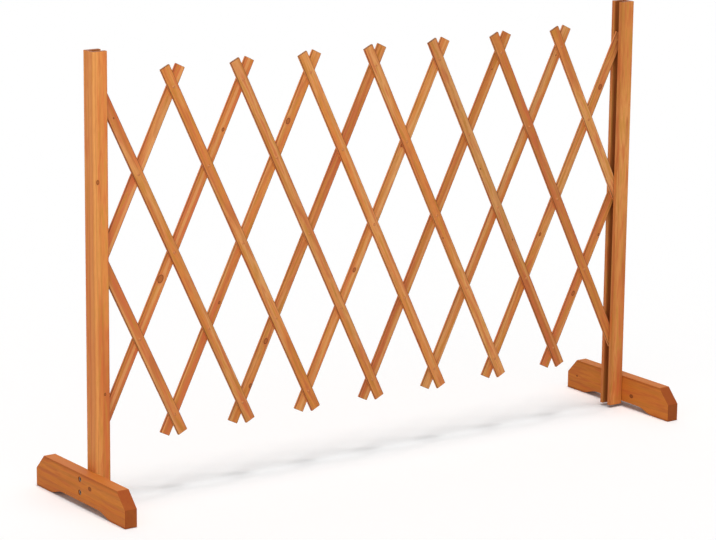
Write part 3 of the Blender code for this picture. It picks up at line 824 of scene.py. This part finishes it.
def row_tree():
    """One part repeated in a row up Z, each turned by chance about Y and tilted a little."""
    tree = bpy.data.node_groups.new("Row of fixings", "GeometryNodeTree")
    given = new_inputs(tree, (("Part", "object"), ("First", "length"), ("Pitch", "length"),
                              ("Count", "whole"), ("Tilt", "length"), ("Seed", "whole"),
                              ("Material", "material")))
    start = add(tree, "ShaderNodeCombineXYZ", {"Z": given["First"]})[0]
    step = add(tree, "ShaderNodeCombineXYZ", {"Z": given["Pitch"]})[0]
    pivots = add(tree, "GeometryNodeMeshLine",
                 {"Count": given["Count"], "Start Location": start, "Offset": step}, mode="OFFSET")[0]
    tilt = add(tree, "ShaderNodeCombineXYZ", (given["Tilt"], math.pi, given["Tilt"]))[0]
    back = add(tree, VECTOR_MATH, {0: tilt, "Scale": -1.0}, operation="SCALE")[0]
    turn = add(tree, "FunctionNodeRandomValue", {0: back, 1: tilt, "Seed": given["Seed"]},
               data_type="FLOAT_VECTOR")[0]
    turn = add(tree, "FunctionNodeEulerToRotation", (turn,))[0]
    part = add(tree, "GeometryNodeObjectInfo", {"Object": given["Part"], "As Instance": True})["Geometry"]
    row = add(tree, "GeometryNodeInstanceOnPoints",
              {"Points": pivots, "Instance": part, "Rotation": turn})[0]
    row = add(tree, "GeometryNodeRealizeInstances", {"Geometry": row})[0]
    row = add(tree, "GeometryNodeSetMaterial", {"Geometry": row, "Material": given["Material"]})[0]
    add(tree, "NodeGroupOutput", (row,))
    return tree


def slat_start(layer, number):
    """The middle pivot of a slat, and the turn that lays a slat drawn along Z onto it."""
    x = (2 * number - SLATS - 1) * HALF_COLUMN
    turn = -LEAN if layer == "front" else LEAN
    return Matrix.Translation((x, 0, MIDDLE)) @ Matrix.Rotation(turn, 4, "Y")


def pivots_of(layer, number):
    """A slat's riveted pivots in steps up from its middle one, its lone ends and its pinned ends."""
    place = slat_start(layer, number)
    low, high = slat_reach(layer, number)
    steps = [step for step in range(-ROWS, ROWS + 1) if low < step * PITCH < high]
    columns = {step: round((place @ Vector((0, 0, step * PITCH))).x / HALF_COLUMN) for step in steps}
    riveted = [step for step in steps if abs(columns[step]) < COLUMNS]
    at_post = [step for step in steps if abs(columns[step]) == COLUMNS]
    lone = [step for step in at_post if step != 0]
    pinned = [step for step in at_post if step == 0]
    return riveted, lone, pinned


def slat_reach(layer, number):
    """How far a slat's solid reaches down and up from its middle pivot, along its length."""
    back = slat_start(layer, number).inverted()
    along = [(back @ vertex.co).z for vertex in frame["nodes"][f"{layer}_slat_{number}"].data.vertices]
    return min(along), max(along)


def rivet_profile(front, back, back_sink):
    """A semi-tubular rivet between two faces, with a low dome and a hollow end that is rolled over."""
    under, over = front + RIVET_SINK, back - back_sink
    ball = (RIVET_HEAD_RADIUS ** 2 + RIVET_HEAD_RISE ** 2) / (2 * RIVET_HEAD_RISE)
    spread = math.asin(RIVET_HEAD_RADIUS / ball)
    profile = []
    for step in range(DOME_STEPS + 1):
        angle = spread * step / DOME_STEPS
        profile.append((under - ball * math.cos(angle) + (ball - RIVET_HEAD_RISE), ball * math.sin(angle)))
    profile += [(under, RIVET_RADIUS), (over, RIVET_RADIUS)]
    middle, roll = (BURR_RADIUS + BURR_MOUTH) / 2, (BURR_RADIUS - BURR_MOUTH) / 2
    for step in range(DOME_STEPS + 1):
        angle = math.pi * step / DOME_STEPS
        profile.append((over + BURR_RISE * math.sin(angle), middle + roll * math.cos(angle)))
    profile += [(over + HOLLOW_FLOOR, HOLLOW_RADIUS), (over + HOLLOW_FLOOR, 0)]
    return profile


def joined_rows(row, name, groups, values):
    """One object with each group's part repeated at its pivots, or none where there is no pivot."""
    rows = [run_tree(row, name, {"Part": part, "First": min(steps) * PITCH, "Pitch": PITCH,
                                 "Count": len(steps), **values}) for part, steps in groups if steps]
    if len(rows) > 1:
        with bpy.context.temp_override(active_object=rows[0], selected_editable_objects=rows):
            bpy.ops.object.join()
    return rows[0] if rows else None


def make_slat(layer, number, tree, row, cutters):
    """One slat with its holes, seats and sawn ends."""
    node = f"{layer}_slat_{number}"
    low, high = slat_reach(layer, number)
    box_low, box_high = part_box(node)
    riveted, lone, pinned = pivots_of(layer, number)
    wood, start, dice = WOODS[f"{layer}_slat"], slat_start(layer, number), random.Random(node)
    holes = joined_rows(row, "holes", ((cutters["rivet"], riveted + lone), (cutters["pin"], pinned)),
                        {"Tilt": 0.0, "Seed": number})
    slat = run_tree(tree, node, {
        "Width": SLAT_WIDTH, "Thickness": box_high.y - box_low.y, "Edge radius": SLAT_EDGE,
        "Bottom": low + dice.uniform(0, SLAT_TRIM), "Top": high - dice.uniform(0, SLAT_TRIM),
        "Front face": box_low.y, "End ease": CUT_EDGE, "Cutters": holes, "Material": wood})
    bpy.data.objects.remove(holes)
    slat.data.transform(start)
    set_grain(slat, f"{layer}_slat", node, start.translation, SLAT_WIDTH)
    smooth(slat)
    hand_over(slat, f"{layer}_sawn_slat_{number}", node, wood, [node])


def make_rivets(layer, number, row, rivets):
    """The rivets that a slat carries: a front slat's crossings, and the lone end of either layer's slat."""
    node = f"{layer}_slat_{number}"
    riveted, lone, _ = pivots_of(layer, number)
    groups = ((rivets["through"], riveted if layer == "front" else ()), (rivets[layer], lone))
    made = joined_rows(row, "rivets", groups, {"Tilt": RIVET_TILT, "Seed": number, "Material": RIVET_METAL})
    if made:
        made.data.transform(slat_start(layer, number))
        shade_turned(made)
        packed = [name for name in frame["record"]["behaviour"]["bodies"][node] if name.startswith("rivet")]
        hand_over(made, f"{layer}_slat_{number}_rivets", node, RIVET_METAL, packed)


def make_lattice(row):
    """All slats and rivets."""
    slats = slat_tree()
    front, gap_front = [corner.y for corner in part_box("front_slat_5")]
    gap_back, back = [corner.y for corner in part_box("back_slat_5")]
    near_seat, far_seat, far = front + SEAT_DEPTH, back - SEAT_DEPTH, SLAT_CUT_REACH
    cutters = {
        "rivet": turned("rivet hole", [(-far, 0), (-far, SEAT_RADIUS), (near_seat, SEAT_RADIUS),
                                       (near_seat, SLAT_HOLE), (far_seat, SLAT_HOLE),
                                       (far_seat, SEAT_RADIUS), (far, SEAT_RADIUS), (far, 0)]),
        "pin": turned("pin hole", [(-far, 0), (-far, PIN_HOLE), (far, PIN_HOLE), (far, 0)]),
    }
    rivets = {
        "through": turned("through rivet", rivet_profile(front, back, RIVET_SINK)),
        "front": turned("front end rivet", rivet_profile(front, gap_front, -END_RIVET_PLAY)),
        "back": turned("back end rivet", rivet_profile(-back, -gap_back, -END_RIVET_PLAY), axis=(0, -1, 0)),
    }
    for layer in ("front", "back"):
        for number in range(1, SLATS + 1):
            make_slat(layer, number, slats, row, cutters)
            make_rivets(layer, number, row, rivets)
    for part in list(cutters.values()) + list(rivets.values()):
        bpy.data.objects.remove(part)


def seen_share(tree):
    """One for what the camera sees, straight, mirrored or through glass, and nought for other light."""
    path = add(tree, "ShaderNodeLightPath")
    share = add(tree, MATH, (path["Is Camera Ray"], path["Is Glossy Ray"]), operation="MAXIMUM")[0]
    return add(tree, MATH, (share, path["Is Transmission Ray"]), operation="MAXIMUM")[0]


def make_stage():
    """A pale floor that reads as white and keeps a soft share of the shadow."""
    mesh = bpy.data.meshes.new("floor")
    corners = [(x * FLOOR_REACH, y * FLOOR_REACH, 0) for x, y in ((-1, -1), (1, -1), (1, 1), (-1, 1))]
    mesh.from_pydata(corners, [], [(0, 1, 2, 3)])
    floor = new_object("pale_floor", mesh)
    material, tree = new_material("Matt white floor paint")
    matt = add(tree, "ShaderNodeBsdfDiffuse", {"Color": linear("e9e9e9")})[0]
    seen = add(tree, "ShaderNodeBsdfDiffuse", {"Color": linear("ffffff")})[0]
    glow = add(tree, "ShaderNodeEmission", {"Color": (1, 1, 1, 1), "Strength": FLOOR_GLOW})[0]
    seen = add(tree, "ShaderNodeAddShader", (seen, glow))[0]
    surface = add(tree, "ShaderNodeMixShader", (seen_share(tree), matt, seen))[0]
    add(tree, "ShaderNodeOutputMaterial", {"Surface": surface})
    mesh.materials.append(material)
    return floor


def make_world():
    """An even white room: white to look at, and a plain soft light on the object."""
    world = bpy.data.worlds.new("white room")
    world.use_nodes = True
    tree = world.node_tree
    tree.nodes.clear()
    strength = add(tree, MATH, (seen_share(tree), 1.0 - ROOM_LIGHT, ROOM_LIGHT), operation="MULTIPLY_ADD")[0]
    glow = add(tree, "ShaderNodeBackground", {"Color": (1, 1, 1, 1), "Strength": strength})[0]
    add(tree, "ShaderNodeOutputWorld", {"Surface": glow})
    bpy.context.scene.world = world


def make_sun(name, strength, spread, towards):
    """A distant soft lamp that shines along a direction."""
    lamp = bpy.data.lights.new(name, "SUN")
    lamp.energy = strength
    lamp.angle = math.radians(spread)
    new_object(name, lamp).rotation_euler = Vector(towards).to_track_quat("-Z", "Y").to_euler()


def make_near_lamp(floor):
    """A soft box near the upper left, flagged off the floor, which brightens that end a little."""
    lamp = bpy.data.lights.new("near soft box", "AREA")
    lamp.energy = NEAR_LIGHT
    lamp.size = NEAR_LAMP_SIZE
    box = new_object("near soft box", lamp)
    box.location = NEAR_LAMP_PLACE
    box.rotation_euler = (Vector(NEAR_LAMP_AIM) - box.location).to_track_quat("-Z", "Y").to_euler()
    flagged = bpy.data.collections.new("flagged off the near soft box")
    flagged.objects.link(floor)
    flagged.collection_objects[0].light_linking.link_state = "EXCLUDE"
    box.light_linking.receiver_collection = flagged


def make_camera():
    """The photograph's viewing angle, from a fit of the camera to the trellis's edges."""
    lens = bpy.data.cameras.new("photo view")
    lens.sensor_fit = "HORIZONTAL"
    lens.sensor_width = SENSOR_WIDTH
    lens.lens = CAMERA_FOCAL_PIXELS / PICTURE_WIDTH * SENSOR_WIDTH
    lens.clip_end = FAR_CLIP
    camera = new_object("photo view", lens)
    turn = (Matrix.Rotation(-CAMERA_YAW, 4, "Z") @ Matrix.Rotation(QUARTER - CAMERA_PITCH, 4, "X")
            @ Matrix.Rotation(CAMERA_ROLL, 4, "Z"))
    camera.matrix_world = Matrix.Translation(CAMERA_PLACE) @ turn
    bpy.context.scene.camera = camera


bpy.context.scene.view_settings.view_transform = "Standard"
make_world()
floor = make_stage()
# Each lamp's strength, its spread in degrees and the way it shines
make_sun("large soft box, front left", KEY_LIGHT, 80, (0.55, 0.68, -0.45))
make_sun("overhead soft box", TOP_LIGHT, 20, (0.0, 0.05, -1.0))
make_sun("large soft box, behind right", FILL_LIGHT, 80, (-0.45, -0.78, -0.40))
make_near_lamp(floor)
make_camera()
for side in ("left", "right"):
    make_post(side)
    make_foot(side)
    make_pin(side)
fixings = row_tree()
one_screw = screw_part()
for side in ("left", "right"):
    make_screws(side, fixings, one_screw)
bpy.data.objects.remove(one_screw)
make_lattice(fixings)

bpy.context.view_layer.update()
